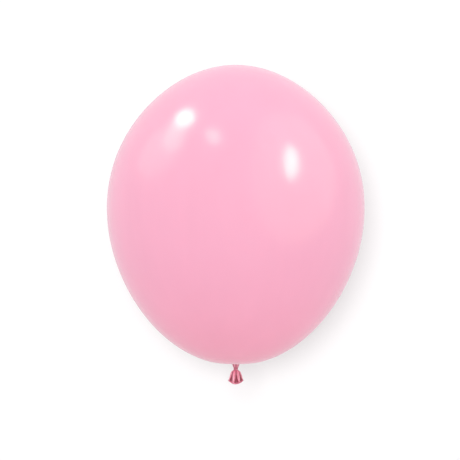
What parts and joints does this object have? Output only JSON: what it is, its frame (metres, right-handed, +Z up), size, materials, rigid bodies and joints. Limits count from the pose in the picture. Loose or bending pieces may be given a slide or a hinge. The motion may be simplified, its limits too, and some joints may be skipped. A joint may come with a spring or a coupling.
{
  "type": "latex balloon",
  "caption": "Round inflated latex party balloon, tied off, with a pleated neck, an overhand knot and an open rolled-lip tail that leans and twists.",
  "frame": {"origin": "middle of the knot, where a ribbon is tied", "axes": "+Z up along the balloon's axis, from the knot to the crown; -Y towards the front, where the strand crosses the knot; +X to the right seen from the front"},
  "size_m": [0.3048, 0.3048, 0.3773],
  "materials": {
    "latex_stretched": "glossy, pale pink, slightly translucent stretched latex film",
    "latex_relaxed": "satin, deeper pink relaxed latex film"
  },
  "bodies": {
    "envelope": {"envelope": "latex_stretched", "neck_frill": "latex_relaxed"},
    "neck": {"neck_core": "latex_relaxed"},
    "knot": {"knot_loop": "latex_relaxed", "knot_crossing": "latex_relaxed"},
    "tail": {"tail_skirt": "latex_relaxed", "tail_cuff": "latex_relaxed", "rolled_bead": "latex_relaxed"}
  },
  "joints": [
    {"name": "neck_nod", "type": "hinge", "parent": "envelope", "child": "neck", "pos_m": [0, 0, 0], "axis": [1, 0, 0], "range_deg": [-40, 40], "stiffness_Nm_per_rad": 0.0001},
    {"name": "neck_sway", "type": "hinge", "parent": "neck", "child": "knot", "pos_m": [0, 0, 0], "axis": [0, 1, 0], "range_deg": [-40, 40], "stiffness_Nm_per_rad": 0.0001},
    {"name": "tail_twist", "type": "hinge", "parent": "knot", "child": "tail", "pos_m": [0, 0, 0], "axis": [0, 0, 1], "range_deg": [-90, 90], "stiffness_Nm_per_rad": 0.0001}
  ]
}
